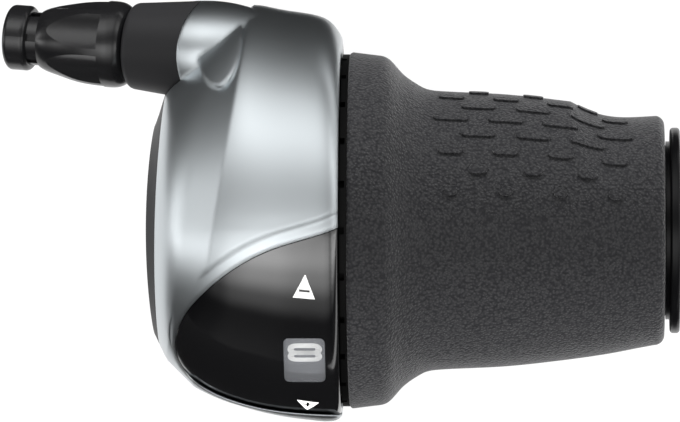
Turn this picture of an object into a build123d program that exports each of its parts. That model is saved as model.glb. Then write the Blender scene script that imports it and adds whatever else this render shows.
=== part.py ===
from build123d import *
import os
from math import cos, radians, sin

os.makedirs("parts", exist_ok=True)

# The bar runs along +X (outboard), +Y is forward and +Z is up. X = 0 is the inboard face.
BAR_DIAMETER = 22.2
BAR_PLAY = 0.05
TUBE_WALL = 1.6
RUN_PLAY = 0.1
SEAT_PLAY = 0.05
FACE_GAP = 0.2
SEAM_GAP = 0.05

# Lengths along the bar
HOUSING_LENGTH = 28.85
GRIP_GAP = 1.2
OVERALL_LENGTH = 79.45
END_GAP = 0.8

# Housing shell. Stations are shares of the length and the radius: place, bell, front bulge.
HOUSING_RADIUS = 28.6
SHELL_WALL = 1.8
PARTING_Z = -6.0
STATIONS = [
    (0.000, 0.490, 0.491),
    (0.016, 0.523, 0.530),
    (0.036, 0.563, 0.578),
    (0.105, 0.699, 0.795),
    (0.189, 0.790, 0.930),
    (0.293, 0.853, 1.045),
    (0.397, 0.897, 1.125),
    (0.501, 0.930, 1.178),
    (0.674, 0.972, 1.161),
    (0.847, 0.996, 1.133),
    (0.951, 1.000, 1.084),
    (1.000, 0.970, 1.010),
]
RIM_BOW = 150.0
SEAM_X = 1.3
SEAM_Y = -6.0
SEAM_BOW = 300.0
REACH = 80.0

# Inboard tier of the housing: a leaning band steps down from the dome.
TIER_START = 5.85
TIER_WIDTH = 4.5
TIER_LEAN = 9.0
TIER_DROP = 1.4

# Nose: a rounded lobe closes the band towards the barrel.
NOSE_X = 10.75
NOSE_FORWARD = 0.4
NOSE_HALF_WIDTH = 3.5
NOSE_HALF_LENGTH = 7.7

# Cable barrel: its axis leaves the housing inboard, a little forward and downward.
BARREL_X = 0.05
BARREL_INSET = 1.1
BARREL_Z = 1.5
BARREL_RISE = 4.4
BARREL_DROP = 15.0
COLLAR_END = 2.8
COLLAR_SEAM = -6.2
COLLAR_BACK = -12.0
COLLAR_BOW = 11.6
COLLAR_BOW_X = 15.95
COLLAR_BOW_INSET = 2.6
COLLAR_RADIUS = 6.4
HUMP_RADIUS = 7.3
HUMP_MIDDLE = -13.0
HUMP_END = -20.5
HUMP_END_RADIUS = 5.0
HUMP_SWELL = 0.1
HUMP_ROOM = 0.4
COLLAR_ROUND = 1.2
COLLAR_BOSS_RADIUS = 4.6
COLLAR_BOSS_END = -10.0

# Clamp
CLAMP_WALL = 2.65
CLAMP_END = 10.0
CLAMP_SLIT = 1.6
SLIT_END = 12.5
EAR_START = 3.4
EAR_REACH = 6.0
EAR_WALL = 0.7
EAR_FOOT = 1.2
NUT_INSET = 2.2
HOLE_PLAY = 0.15
BOLT_X = 6.4
BOLT_RADIUS = 2.0
BOLT_HEAD_RADIUS = 3.5
BOLT_HEAD_HEIGHT = 4.0
BOLT_KEY = 3.0
NUT_WIDTH = 7.0
NUT_HEIGHT = 2.2

# Cable drum
DRUM_START = 11.0
DRUM_END = 19.4
DRUM_WALL = 3.75
GROOVE_X = 15.6
GROOVE_DEPTH = 2.0
GROOVE_WIDTH = 1.8
INDEX_STEP = 0.8
INDEX_WIDTH = 2.4
GEAR_COUNT = 8
GEAR_STEP = 21.0
NOTCH_RADIUS = 1.3
NOTCH_DEPTH = 0.8
DOG_LENGTH = 2.2
DOG_WIDTH = 4.0
DOG_COUNT = 3
NIPPLE_RADIUS = 2.2
NIPPLE_ANGLE = 60.0
WASHER_THICKNESS = 0.6
WASHER_RIM = 1.2

# Detent leaf
LEAF_THICKNESS = 0.4
LEAF_WIDTH = 1.6
LEAF_SPAN = 11.0
LEAF_ROOM = 1.5
LEAF_RISE = 2.3
LEAF_CREST = 2.4
LEAF_BEND = 0.9
LEAF_FOOT = 1.0
POST_WIDTH = 2.4
POST_HEAD = 1.3

# Window and dial
WINDOW_GAP = 0.12
WINDOW_RECESS = 0.5
SURROUND_RECESS = 0.3
SURROUND_BACK = 0.9
SURROUND_FORWARD = 1.9
LENS_INSET = 5.1
LENS_SHARE = -0.671
LENS_LENGTH = 6.2
LENS_HEIGHT = 6.6
LENS_CORNER = 0.8
DIAL_GAP = 0.7
DIAL_THICKNESS = 0.6
DIAL_LENGTH = 7.2
SKIRT_WALL = 0.9

# Window edge seen from above: distance back from the housing's mouth, share of its radius
WINDOW_EDGE = [
    (-2.0, 0.053),
    (3.0, -0.024),
    (9.0, -0.087),
    (15.3, -0.195),
    (19.0, -0.292),
    (21.9, -0.392),
    (24.2, -0.530),
    (24.4, -0.650),
    (22.7, -0.757),
    (16.1, -0.892),
    (9.0, -0.946),
    (-2.0, -0.967),
]

# Grip. The flare and the body are shares of a length and of a fall in radius.
RIM_STEP = 0.3
RIM_SLOTS = 24
RIM_SLOT_DEPTH = 1.2
RIM_SLOT_WIDTH = 1.1
RIM_SLOT_SHARE = 0.7
WEB_THICKNESS = 1.6
HUB_WALL = 2.0
FLANGE_STEP = 1.9
GRIP_WAIST_RADIUS = 20.9
GRIP_END_RADIUS = 17.2
RUBBER_THICKNESS = 2.6
FLARE_LENGTH = 13.4
FLARE = [(0.343, 0.086), (0.470, 0.241), (0.590, 0.552), (0.761, 0.836)]
BODY = [(0.282, 0.12), (0.557, 0.365), (0.805, 0.676)]
SLEEVE_FLARE = (0.313, 0.784)
LIP_ROUND = 0.6
TIP_ROUND = 1.5
SCOOP_ANGLE = 75.0
SCOOP_STEP = 0.1
SCOOP_SHIFT = 3.9
SCOOP_LENGTH = 15.7
SCOOP_FLAT = 9.2
DASH_HEIGHT = 0.35
DASH_WIDTH = 1.5
DASH_START = 15.3
DASH_END_SPACE = 7.0
DASH_PITCH = 8.13
DASH_ROW_STEP = 9.2
DASH_LENGTHS = [2.0, 2.8, 3.9, 5.2, 5.4, 5.2, 3.9, 3.0]
DASH_FIRST_ANGLE = 16.7

# End washer
END_WASHER_INSET = 1.8
END_WASHER_ROUND = 0.5
END_WASHER_THICKNESS = 1.5
END_HUB_WALL = 0.6
END_LIP = 0.9

# Adjuster
KNOB_LENGTH = 13.7
KNOB_RADIUS = 6.5
KNOB_LIP = 0.5
KNOB_FLUTES = 6
FLUTE_RADIUS = 8.0
FLUTE_DEPTH = 1.1
FLUTE_SHARE = 0.25
FLUTE_TAPER = 2.5
FLUTE_TURN = 16.0
SHANK_RADIUS = 2.9
SHANK_END = -4.5
NECK_RADIUS = 4.0
NECK_LENGTH = 11.4
NECK_SLOTS = 6
SPLINE_WIDTH = 0.9
SPLINE_DEPTH = 0.35
SPLINE_LENGTH = 3.0
END_FLANGE_STEP = 0.9
END_FLANGE_THICKNESS = 3.6
END_FLANGE_ROUND = 0.8
BOLT_STANDOUT = 5.3
CASING_RADIUS = 2.55
CASING_DEPTH = 7.0
CABLE_HOLE_RADIUS = 1.0
SPRING_WIRE = 0.5
SPRING_TURNS = 4
SPRING_SEAT = 3.0
GUIDE_RADIUS = 2.0
GUIDE_SEAT = 2.5
GUIDE_REACH = 16.0
CABLE_EXIT_ANGLE = 20.0

# Cover screws: shares of the housing's length and radius
SCREW_SHARES = [(0.714, 1.007), (0.425, -0.776)]
SCREW_RADIUS = 1.1
SCREW_HEAD_RADIUS = 1.9
SCREW_HEAD_HEIGHT = 1.4
SCREW_BOSS_RADIUS = 2.3
SCREW_LENGTH = 9.0
SCREW_SEAT = 4.0
SCREW_CROSS = 0.6
SCREW_CROSS_DEPTH = 0.9

# Derived sizes
BORE_RADIUS = BAR_DIAMETER / 2 + BAR_PLAY
TUBE_RADIUS = BORE_RADIUS + TUBE_WALL
SLEEVE_BORE = TUBE_RADIUS + RUN_PLAY
CLAMP_RADIUS = TUBE_RADIUS + CLAMP_WALL
END_FACE = OVERALL_LENGTH - END_WASHER_THICKNESS
TUBE_END = OVERALL_LENGTH - END_LIP - SEAT_PLAY
GRIP_START = HOUSING_LENGTH + GRIP_GAP
GRIP_END = END_FACE - END_GAP
END_WASHER_RADIUS = GRIP_END_RADIUS - END_WASHER_INSET
GRIP_FLANGE_RADIUS = HOUSING_RADIUS - FLANGE_STEP
RIM_RADIUS = GRIP_FLANGE_RADIUS - RIM_STEP
BOLT_Z = -(TUBE_RADIUS + BOLT_RADIUS + EAR_WALL)
EAR_Z = BOLT_Z - BOLT_RADIUS - EAR_FOOT
NOSE_Y = HOUSING_RADIUS + NOSE_FORWARD
CAVITY_RADIUS = STATIONS[2][1] * HOUSING_RADIUS - SHELL_WALL
EYE_RADIUS = FACE_GAP + max(CLAMP_RADIUS, CAVITY_RADIUS)
MOUTH_RADIUS = STATIONS[-1][1] * HOUSING_RADIUS - 0.6 * SHELL_WALL
LENS_X = HOUSING_LENGTH - LENS_INSET
LENS_Y = LENS_SHARE * HOUSING_RADIUS
DIAL_RADIUS = STATIONS[8][1] * HOUSING_RADIUS - SHELL_WALL - DIAL_GAP
SKIRT_RADIUS = DIAL_RADIUS - DIAL_THICKNESS - SEAT_PLAY
DIAL_START = LENS_X - DIAL_LENGTH / 2
SKIRT_START = DIAL_START - LIP_ROUND
HUB_RADIUS = SLEEVE_BORE + HUB_WALL
DRUM_FLANGE_RADIUS = HUB_RADIUS + DRUM_WALL
INDEX_RADIUS = DRUM_FLANGE_RADIUS + INDEX_STEP
LEAF_Z = -(INDEX_RADIUS + LEAF_ROOM)
LEAF_X = DRUM_START + INDEX_WIDTH / 2
NOTCH_CENTRE = INDEX_RADIUS - NOTCH_DEPTH + NOTCH_RADIUS
GROOVE_RADIUS = DRUM_FLANGE_RADIUS - GROOVE_DEPTH
BOLT_THREAD_BORE = SHANK_RADIUS + RUN_PLAY
KNOB_START = COLLAR_END + FACE_GAP
KNOB_END = KNOB_START + KNOB_LENGTH
KNOB_BORE = NECK_RADIUS + RUN_PLAY
KNOB_NECK_RADIUS = KNOB_BORE + KNOB_LIP
BOLT_TIP = KNOB_END + BOLT_STANDOUT
NECK_START = BOLT_TIP - NECK_LENGTH
END_FLANGE_RADIUS = NECK_RADIUS + END_FLANGE_STEP
SPRING_START = KNOB_START + SPRING_SEAT
SCREW_PLACES = [(share * HOUSING_LENGTH, side * HOUSING_RADIUS) for share, side in SCREW_SHARES]
SCREW_SEAT_Z = PARTING_Z - SCREW_SEAT
SCOOP_RADIUS = GRIP_END_RADIUS - SCOOP_STEP
DASH_FIRST_X = GRIP_START + DASH_START
DASH_COLUMNS = int((GRIP_END - DASH_END_SPACE - DASH_FIRST_X) / DASH_PITCH) + 1
BARREL_ORIGIN = (BARREL_X, HOUSING_RADIUS - BARREL_INSET, BARREL_Z)
BARREL_AXIS = Vector(
    -cos(radians(BARREL_DROP)) * cos(radians(BARREL_RISE)),
    cos(radians(BARREL_DROP)) * sin(radians(BARREL_RISE)),
    -sin(radians(BARREL_DROP)),
)
BARREL = Plane(origin=BARREL_ORIGIN, x_dir=(0, 0, 1), z_dir=BARREL_AXIS)


def disc(start, end, radius, mode=Mode.ADD):
    """Round bar along the handlebar axis from one X to another."""
    with BuildSketch(Plane.YZ.offset(start)) as round_face:
        Circle(radius)
    extrude(round_face.sketch, amount=end - start, mode=mode)


def barrel_disc(start, end, radius, mode=Mode.ADD):
    """Round bar along the cable barrel's axis."""
    with BuildSketch(BARREL.offset(start)) as round_face:
        Circle(radius)
    extrude(round_face.sketch, amount=end - start, mode=mode)


def housing_section(share, inset=0, drop=0, push=0):
    """Half circle to the rear and half ellipse to the front, lowered towards the front by a drop."""
    bell, front = [size * HOUSING_RADIUS - inset - drop / 2 for size in section_sizes(share)]
    with BuildSketch(Plane.YZ.offset(share * HOUSING_LENGTH + push)) as outline:
        with BuildLine():
            EllipticalCenterArc((-drop / 2, 0), front, bell, start_angle=-90, arc_size=180)
            CenterArc((-drop / 2, 0), bell, 90, 180)
        make_face()
    return outline.sketch


def section_sizes(share):
    """Bell and front bulge at a station."""
    return [(bell, front) for place, bell, front in STATIONS if place == share][0]


def tier_plane(place):
    """Leaning plane across the housing."""
    lean = radians(TIER_LEAN)
    return Plane(
        origin=(place, 0, 0), x_dir=(sin(lean), cos(lean), 0), z_dir=(cos(lean), -sin(lean), 0)
    )


def base_region(gap):
    """Room of the black base: inboard of the seam, the collar, and all below the parting plane."""
    with BuildSketch(Plane.XY.offset(-REACH)) as inboard:
        Rectangle(2 * REACH, 2 * REACH)
        with Locations((SEAM_X + gap + SEAM_BOW, SEAM_Y)):
            Circle(SEAM_BOW, mode=Mode.SUBTRACT)
    extrude(inboard.sketch, amount=2 * REACH)
    barrel_disc(COLLAR_BACK, KNOB_START, HUMP_RADIUS + HUMP_ROOM + gap)
    with BuildSketch(Plane.XY.offset(-REACH)) as bow:
        with Locations((COLLAR_BOW_X, HOUSING_RADIUS - COLLAR_BOW_INSET)):
            Circle(COLLAR_BOW - gap)
    extrude(bow.sketch, amount=2 * REACH, mode=Mode.SUBTRACT)
    with Locations((0, 0, PARTING_Z + gap - REACH)):
        Box(4 * REACH, 4 * REACH, 2 * REACH)


def window_outline(inset):
    """Window edge seen from above, drawn in by a gap square to the edge."""
    points = [Vector(HOUSING_LENGTH - back, side * HOUSING_RADIUS) for back, side in WINDOW_EDGE]
    drawn_in = []
    for before, point, after in zip(points[:1] + points, points, points[1:] + points[-1:]):
        along = (after - before).normalized()
        drawn_in.append(point + Vector(-along.Y, along.X) * inset)
    with BuildSketch(Plane.XY) as outline:
        with BuildLine():
            edge = Spline(*drawn_in)
            Line(edge @ 1, edge @ 0)
        make_face()
    return outline.sketch


with BuildPart() as inboard_tier:
    loft(
        [
            housing_section(
                share, drop=TIER_DROP * min(1, share * HOUSING_LENGTH / TIER_START)
            )
            for share, bell, front in STATIONS[:8]
        ]
    )
    split(bisect_by=tier_plane(TIER_START), keep=Keep.BOTTOM)

with BuildPart() as full_dome:
    loft([housing_section(share) for share, bell, front in STATIONS])

with BuildPart() as dome:
    add(full_dome.part)
    split(bisect_by=tier_plane(TIER_START + TIER_WIDTH), keep=Keep.TOP)

with BuildPart() as tier_band:
    low_edge = inboard_tier.faces().filter_by(GeomType.PLANE).sort_by(Axis.X)[-1]
    high_edge = dome.faces().filter_by(GeomType.PLANE).sort_by(Axis.X)[0]
    loft([low_edge, high_edge], ruled=True)

with BuildPart() as nose:
    with BuildSketch(Plane.XY):
        with Locations((NOSE_X, NOSE_Y)):
            Ellipse(NOSE_HALF_WIDTH, NOSE_HALF_LENGTH)
    extrude(amount=HOUSING_RADIUS)
    add(full_dome.part, mode=Mode.INTERSECT)

with BuildPart() as envelope:
    add(inboard_tier.part)
    add(tier_band.part)
    add(dome.part)
    add(nose.part)

with BuildPart() as recessed_envelope:
    loft([housing_section(share, inset=WINDOW_RECESS) for share, bell, front in STATIONS])

with BuildPart() as surround:
    add(envelope.part)
    loft(
        [housing_section(share, inset=SURROUND_RECESS) for share, bell, front in STATIONS],
        mode=Mode.SUBTRACT,
    )
    extrude(
        Location((-SURROUND_BACK, SURROUND_FORWARD, 0)) * window_outline(0),
        amount=2 * HOUSING_RADIUS,
        mode=Mode.INTERSECT,
    )

with BuildPart() as cavity:
    inner = [
        housing_section(share, inset=SHELL_WALL, push=0.6 * SHELL_WALL)
        for share, bell, front in STATIONS[2:9]
    ]
    mouth = housing_section(STATIONS[10][0], inset=SHELL_WALL, push=-0.3 * SHELL_WALL)
    loft(inner + [mouth])
    disc(HOUSING_LENGTH - 2 * SHELL_WALL, GRIP_START + SHELL_WALL, MOUTH_RADIUS)

with BuildPart() as barrel_body:
    barrel_disc(COLLAR_BACK, COLLAR_SEAM, HUMP_RADIUS)
    with BuildSketch(BARREL.offset(COLLAR_SEAM)):
        Circle(HUMP_RADIUS)
    with BuildSketch(BARREL.offset(COLLAR_END)):
        Circle(COLLAR_RADIUS)
    loft()
    fillet(barrel_body.faces().sort_by(Axis.X)[0].edges(), COLLAR_ROUND)

with BuildPart() as hump:
    with BuildSketch(BARREL.offset(COLLAR_SEAM)):
        Circle(HUMP_RADIUS)
    with BuildSketch(BARREL.offset(HUMP_MIDDLE)):
        Circle(HUMP_RADIUS + HUMP_SWELL)
    with BuildSketch(BARREL.offset(HUMP_END)):
        Circle(HUMP_END_RADIUS)
    loft()

with BuildPart() as base_zone:
    base_region(0)

with BuildPart() as cover_clearance:
    base_region(SEAM_GAP)

with BuildPart() as leaf_posts:
    with BuildSketch(Plane.XY.offset(LEAF_Z + POST_HEAD)):
        with Locations((LEAF_X, -LEAF_SPAN), (LEAF_X, LEAF_SPAN)):
            Rectangle(LEAF_WIDTH + POST_HEAD, POST_WIDTH)
    extrude(amount=-HOUSING_RADIUS)
    add(envelope.part, mode=Mode.INTERSECT)

with BuildPart() as screw_bosses:
    with BuildSketch(Plane.XY.offset(-REACH)):
        with Locations(*SCREW_PLACES):
            Circle(SCREW_BOSS_RADIUS)
    extrude(amount=2 * REACH)
    add(envelope.part, mode=Mode.INTERSECT)

with BuildPart() as window_zone:
    extrude(window_outline(0), amount=2 * HOUSING_RADIUS)

with BuildPart() as shell:
    add(envelope.part)
    add(hump.part)
    add(barrel_body.part)
    add(cavity.part, mode=Mode.SUBTRACT)
    add(screw_bosses.part)

with BuildPart() as base_body:
    add(shell.part)
    add(barrel_body.part)
    add(base_zone.part, mode=Mode.INTERSECT)
    disc(0, TUBE_END, TUBE_RADIUS)
    disc(SEAM_X, CLAMP_END, CLAMP_RADIUS)
    with BuildSketch(Plane.XY.offset(-REACH)):
        with Locations((0, (BARREL_ORIGIN[1] - HUMP_RADIUS - REACH) / 2)):
            Rectangle(2 * CLAMP_END, BARREL_ORIGIN[1] - HUMP_RADIUS + REACH)
        with Locations((RIM_BOW, 0)):
            Circle(RIM_BOW, mode=Mode.SUBTRACT)
    extrude(amount=2 * REACH, mode=Mode.SUBTRACT)
    with Locations(((EAR_START + CLAMP_END) / 2, 0, (EAR_Z - TUBE_RADIUS) / 2)):
        Box(CLAMP_END - EAR_START, 2 * EAR_REACH, -EAR_Z - TUBE_RADIUS)
    add(leaf_posts.part)
    barrel_disc(COLLAR_BOSS_END, 0, COLLAR_BOSS_RADIUS)
    disc(-1, TUBE_END + 1, BORE_RADIUS, Mode.SUBTRACT)
    with Locations((SLIT_END / 2, 0, EAR_Z / 2)):
        Box(SLIT_END, CLAMP_SLIT, -EAR_Z, mode=Mode.SUBTRACT)
    with BuildSketch(Plane.XZ.offset(EAR_REACH)):
        with Locations((BOLT_X, BOLT_Z)):
            Circle(BOLT_HEAD_RADIUS + 2 * HOLE_PLAY)
    extrude(amount=REACH, mode=Mode.SUBTRACT)
    with BuildSketch(Plane.XZ.offset(-EAR_REACH)):
        with Locations((BOLT_X, BOLT_Z)):
            Circle(BOLT_RADIUS + HOLE_PLAY)
    extrude(amount=2 * EAR_REACH, mode=Mode.SUBTRACT)
    with Locations((BOLT_X, EAR_REACH - NUT_INSET, BOLT_Z - NUT_WIDTH / 4)):
        Box(
            NUT_WIDTH + 2 * SEAT_PLAY,
            NUT_HEIGHT + 2 * SEAT_PLAY,
            1.5 * NUT_WIDTH + 2 * SEAT_PLAY,
            mode=Mode.SUBTRACT,
        )
    with Locations((LEAF_X, -LEAF_SPAN, LEAF_Z), (LEAF_X, LEAF_SPAN, LEAF_Z)):
        Box(
            LEAF_WIDTH + 2 * SEAT_PLAY,
            2 * POST_WIDTH,
            LEAF_THICKNESS + 2 * SEAT_PLAY,
            mode=Mode.SUBTRACT,
        )
    barrel_disc(COLLAR_BOSS_END + GUIDE_SEAT, COLLAR_END + 1, BOLT_THREAD_BORE, Mode.SUBTRACT)
    barrel_disc(
        COLLAR_BOSS_END - 1, COLLAR_BOSS_END + GUIDE_SEAT, GUIDE_RADIUS + SEAT_PLAY, Mode.SUBTRACT
    )
    with BuildSketch(Plane.XY.offset(SCREW_SEAT_Z)):
        with Locations(*SCREW_PLACES):
            Circle(SCREW_HEAD_RADIUS + HOLE_PLAY)
    extrude(amount=-REACH, mode=Mode.SUBTRACT)
    with BuildSketch(Plane.XY.offset(SCREW_SEAT_Z)):
        with Locations(*SCREW_PLACES):
            Circle(SCREW_RADIUS + HOLE_PLAY)
    extrude(amount=SCREW_SEAT, mode=Mode.SUBTRACT)
base_body.part.label = "base_body"
export_step(base_body.part, "parts/base_body.step")

with BuildPart() as top_cover:
    add(shell.part)
    add(cover_clearance.part, mode=Mode.SUBTRACT)
    add(surround.part, mode=Mode.SUBTRACT)
    add(window_zone.part, mode=Mode.SUBTRACT)
    disc(0, CLAMP_END, EYE_RADIUS, Mode.SUBTRACT)
    barrel_disc(
        COLLAR_END,
        COLLAR_BOSS_END - 2 * GUIDE_RADIUS,
        COLLAR_BOSS_RADIUS + RUN_PLAY,
        Mode.SUBTRACT,
    )
    with BuildSketch(Plane.XY.offset(PARTING_Z)):
        with Locations(*SCREW_PLACES):
            Circle(SCREW_RADIUS)
    extrude(amount=SCREW_LENGTH - SCREW_SEAT + FACE_GAP, mode=Mode.SUBTRACT)
top_cover.part.label = "top_cover"
export_step(top_cover.part, "parts/top_cover.step")

with BuildPart() as indicator_window:
    add(recessed_envelope.part)
    add(cavity.part, mode=Mode.SUBTRACT)
    extrude(window_outline(WINDOW_GAP), amount=2 * HOUSING_RADIUS, mode=Mode.INTERSECT)
    with BuildSketch(Plane.XY):
        with Locations((LENS_X, LENS_Y)):
            RectangleRounded(LENS_LENGTH, LENS_HEIGHT, LENS_CORNER)
    extrude(amount=2 * HOUSING_RADIUS, mode=Mode.SUBTRACT)
indicator_window.part.label = "indicator_window"
export_step(indicator_window.part, "parts/indicator_window.step")

with BuildPart() as number_lens:
    add(recessed_envelope.part)
    add(cavity.part, mode=Mode.SUBTRACT)
    with BuildSketch(Plane.XY):
        with Locations((LENS_X, LENS_Y)):
            RectangleRounded(
                LENS_LENGTH - 2 * SEAT_PLAY, LENS_HEIGHT - 2 * SEAT_PLAY, LENS_CORNER - SEAT_PLAY
            )
    extrude(amount=2 * HOUSING_RADIUS, mode=Mode.INTERSECT)
number_lens.part.label = "number_lens"
export_step(number_lens.part, "parts/number_lens.step")

with BuildPart() as clamp_bolt:
    with BuildSketch(Plane.XZ.offset(EAR_REACH)):
        with Locations((BOLT_X, BOLT_Z)):
            Circle(BOLT_HEAD_RADIUS)
    extrude(amount=BOLT_HEAD_HEIGHT)
    fillet(clamp_bolt.faces().sort_by(Axis.Y)[0].edges(), 2 * FACE_GAP)
    with BuildSketch(Plane.XZ.offset(EAR_REACH)):
        with Locations((BOLT_X, BOLT_Z)):
            Circle(BOLT_RADIUS)
    extrude(amount=FACE_GAP - 2 * EAR_REACH)
    with BuildSketch(Plane.XZ.offset(EAR_REACH + BOLT_HEAD_HEIGHT)):
        with Locations((BOLT_X, BOLT_Z)):
            RegularPolygon(BOLT_KEY / 2, 6, major_radius=False)
    extrude(amount=-0.6 * BOLT_HEAD_HEIGHT, mode=Mode.SUBTRACT)
clamp_bolt.part.label = "clamp_bolt"
export_step(clamp_bolt.part, "parts/clamp_bolt.step")

with BuildPart() as clamp_nut:
    with Locations((BOLT_X, EAR_REACH - NUT_INSET, BOLT_Z)):
        Box(NUT_WIDTH, NUT_HEIGHT, NUT_WIDTH)
    with BuildSketch(Plane.XZ.offset(-EAR_REACH)):
        with Locations((BOLT_X, BOLT_Z)):
            Circle(BOLT_RADIUS + SEAT_PLAY)
    extrude(amount=EAR_REACH, mode=Mode.SUBTRACT)
clamp_nut.part.label = "clamp_nut"
export_step(clamp_nut.part, "parts/clamp_nut.step")

with BuildPart() as cover_screws:
    with BuildSketch(Plane.XY.offset(SCREW_SEAT_Z)):
        with Locations(*SCREW_PLACES):
            Circle(SCREW_HEAD_RADIUS)
    extrude(amount=-SCREW_HEAD_HEIGHT)
    with BuildSketch(Plane.XY.offset(SCREW_SEAT_Z)):
        with Locations(*SCREW_PLACES):
            Circle(SCREW_RADIUS - SEAT_PLAY)
    extrude(amount=SCREW_LENGTH)
    for turn in (0, 90):
        with BuildSketch(Plane.XY.offset(SCREW_SEAT_Z - SCREW_HEAD_HEIGHT)):
            with Locations(*SCREW_PLACES):
                Rectangle(2 * SCREW_RADIUS, SCREW_CROSS, rotation=turn)
        extrude(amount=SCREW_CROSS_DEPTH, mode=Mode.SUBTRACT)
cover_screws.part.label = "cover_screws"
export_step(cover_screws.part, "parts/cover_screws.step")

with BuildPart() as cable_guide:
    exit_angle = radians(CABLE_EXIT_ANGLE)
    exit_way = Vector(0, cos(exit_angle), -sin(exit_angle))
    leave_point = Vector(GROOVE_X, GROOVE_RADIUS * sin(exit_angle), GROOVE_RADIUS * cos(exit_angle))
    exit_point = leave_point + exit_way * GUIDE_REACH
    seat_point = BARREL.offset(COLLAR_BOSS_END).origin
    with BuildLine() as guide_path:
        Spline(exit_point, seat_point, tangents=(exit_way, BARREL_AXIS))
        Line(seat_point, seat_point + BARREL_AXIS * (GUIDE_SEAT - SEAT_PLAY))
    with BuildSketch(Plane(origin=exit_point, z_dir=exit_way)):
        Circle(GUIDE_RADIUS)
        Circle(CABLE_HOLE_RADIUS, mode=Mode.SUBTRACT)
    sweep(path=guide_path.wires()[0])
cable_guide.part.label = "cable_guide"
export_step(cable_guide.part, "parts/cable_guide.step")

with BuildPart() as detent_spring:
    with BuildSketch(Plane.YZ.offset(LEAF_X - LEAF_WIDTH / 2)):
        with BuildLine():
            FilletPolyline(
                (-LEAF_SPAN - LEAF_FOOT, LEAF_Z),
                (-LEAF_CREST, LEAF_Z),
                (0, LEAF_Z + LEAF_RISE),
                (LEAF_CREST, LEAF_Z),
                (LEAF_SPAN + LEAF_FOOT, LEAF_Z),
                radius=LEAF_BEND,
            )
        trace(line_width=LEAF_THICKNESS)
    extrude(amount=LEAF_WIDTH)
detent_spring.part.label = "detent_spring"
export_step(detent_spring.part, "parts/detent_spring.step")

with BuildPart() as thrust_washer:
    washer_face = DRUM_START - FACE_GAP
    disc(washer_face - WASHER_THICKNESS, washer_face, CLAMP_RADIUS + WASHER_RIM)
    disc(washer_face - WASHER_THICKNESS, washer_face, SLEEVE_BORE, Mode.SUBTRACT)
thrust_washer.part.label = "thrust_washer"
export_step(thrust_washer.part, "parts/thrust_washer.step")

with BuildPart() as end_washer:
    disc(GRIP_END + FACE_GAP, OVERALL_LENGTH, TUBE_RADIUS + END_HUB_WALL)
    disc(END_FACE, OVERALL_LENGTH, END_WASHER_RADIUS)
    rims = end_washer.edges().filter_by(GeomType.CIRCLE)
    fillet(rims.filter_by(lambda e: abs(e.radius - END_WASHER_RADIUS) < 0.01), END_WASHER_ROUND)
    disc(GRIP_END, TUBE_END + SEAT_PLAY, TUBE_RADIUS + SEAT_PLAY, Mode.SUBTRACT)
    disc(TUBE_END, OVERALL_LENGTH, BORE_RADIUS + SEAT_PLAY, Mode.SUBTRACT)
end_washer.part.label = "end_washer"
export_step(end_washer.part, "parts/end_washer.step")

with BuildPart() as cable_drum:
    disc(DRUM_START, DRUM_END - SEAT_PLAY, DRUM_FLANGE_RADIUS)
    disc(DRUM_START, DRUM_START + INDEX_WIDTH, INDEX_RADIUS)
    with BuildSketch(Plane.XY):
        with Locations((GROOVE_X, GROOVE_RADIUS + GROOVE_WIDTH / 2)):
            Circle(GROOVE_WIDTH / 2)
        with Locations((GROOVE_X, DRUM_FLANGE_RADIUS)):
            Rectangle(GROOVE_WIDTH, 2 * GROOVE_DEPTH - GROOVE_WIDTH)
    revolve(axis=Axis.X, mode=Mode.SUBTRACT)
    disc(DRUM_START, DRUM_END, SLEEVE_BORE, Mode.SUBTRACT)
    for gear in range(GEAR_COUNT):
        notch = radians(180 - GEAR_STEP * gear)
        with BuildSketch(Plane.YZ.offset(DRUM_START)):
            with Locations((NOTCH_CENTRE * sin(notch), NOTCH_CENTRE * cos(notch))):
                Circle(NOTCH_RADIUS)
        extrude(amount=INDEX_WIDTH, mode=Mode.SUBTRACT)
    nipple = radians(NIPPLE_ANGLE)
    with BuildSketch(Plane.YZ.offset(GROOVE_X - GROOVE_WIDTH)):
        with Locations((-GROOVE_RADIUS * sin(nipple), GROOVE_RADIUS * cos(nipple))):
            Circle(NIPPLE_RADIUS)
    extrude(amount=DRUM_END, mode=Mode.SUBTRACT)
    with BuildSketch(Plane.YZ.offset(DRUM_END - DOG_LENGTH - SEAT_PLAY)):
        with PolarLocations(HUB_RADIUS - HUB_WALL / 2, DOG_COUNT, start_angle=90):
            Rectangle(2 * HUB_WALL, DOG_WIDTH + 2 * SEAT_PLAY)
    extrude(amount=DOG_LENGTH + 1, mode=Mode.SUBTRACT)
cable_drum.part.label = "cable_drum"
export_step(cable_drum.part, "parts/cable_drum.step")

SLEEVE_LINE = [
    (GRIP_START, GRIP_FLANGE_RADIUS - RUBBER_THICKNESS),
    (GRIP_START + SLEEVE_FLARE[0] * FLARE_LENGTH, GRIP_FLANGE_RADIUS - RUBBER_THICKNESS),
    (GRIP_START + SLEEVE_FLARE[1] * FLARE_LENGTH, GRIP_WAIST_RADIUS - RUBBER_THICKNESS),
    (GRIP_END, GRIP_END_RADIUS - RUBBER_THICKNESS),
]

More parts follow.
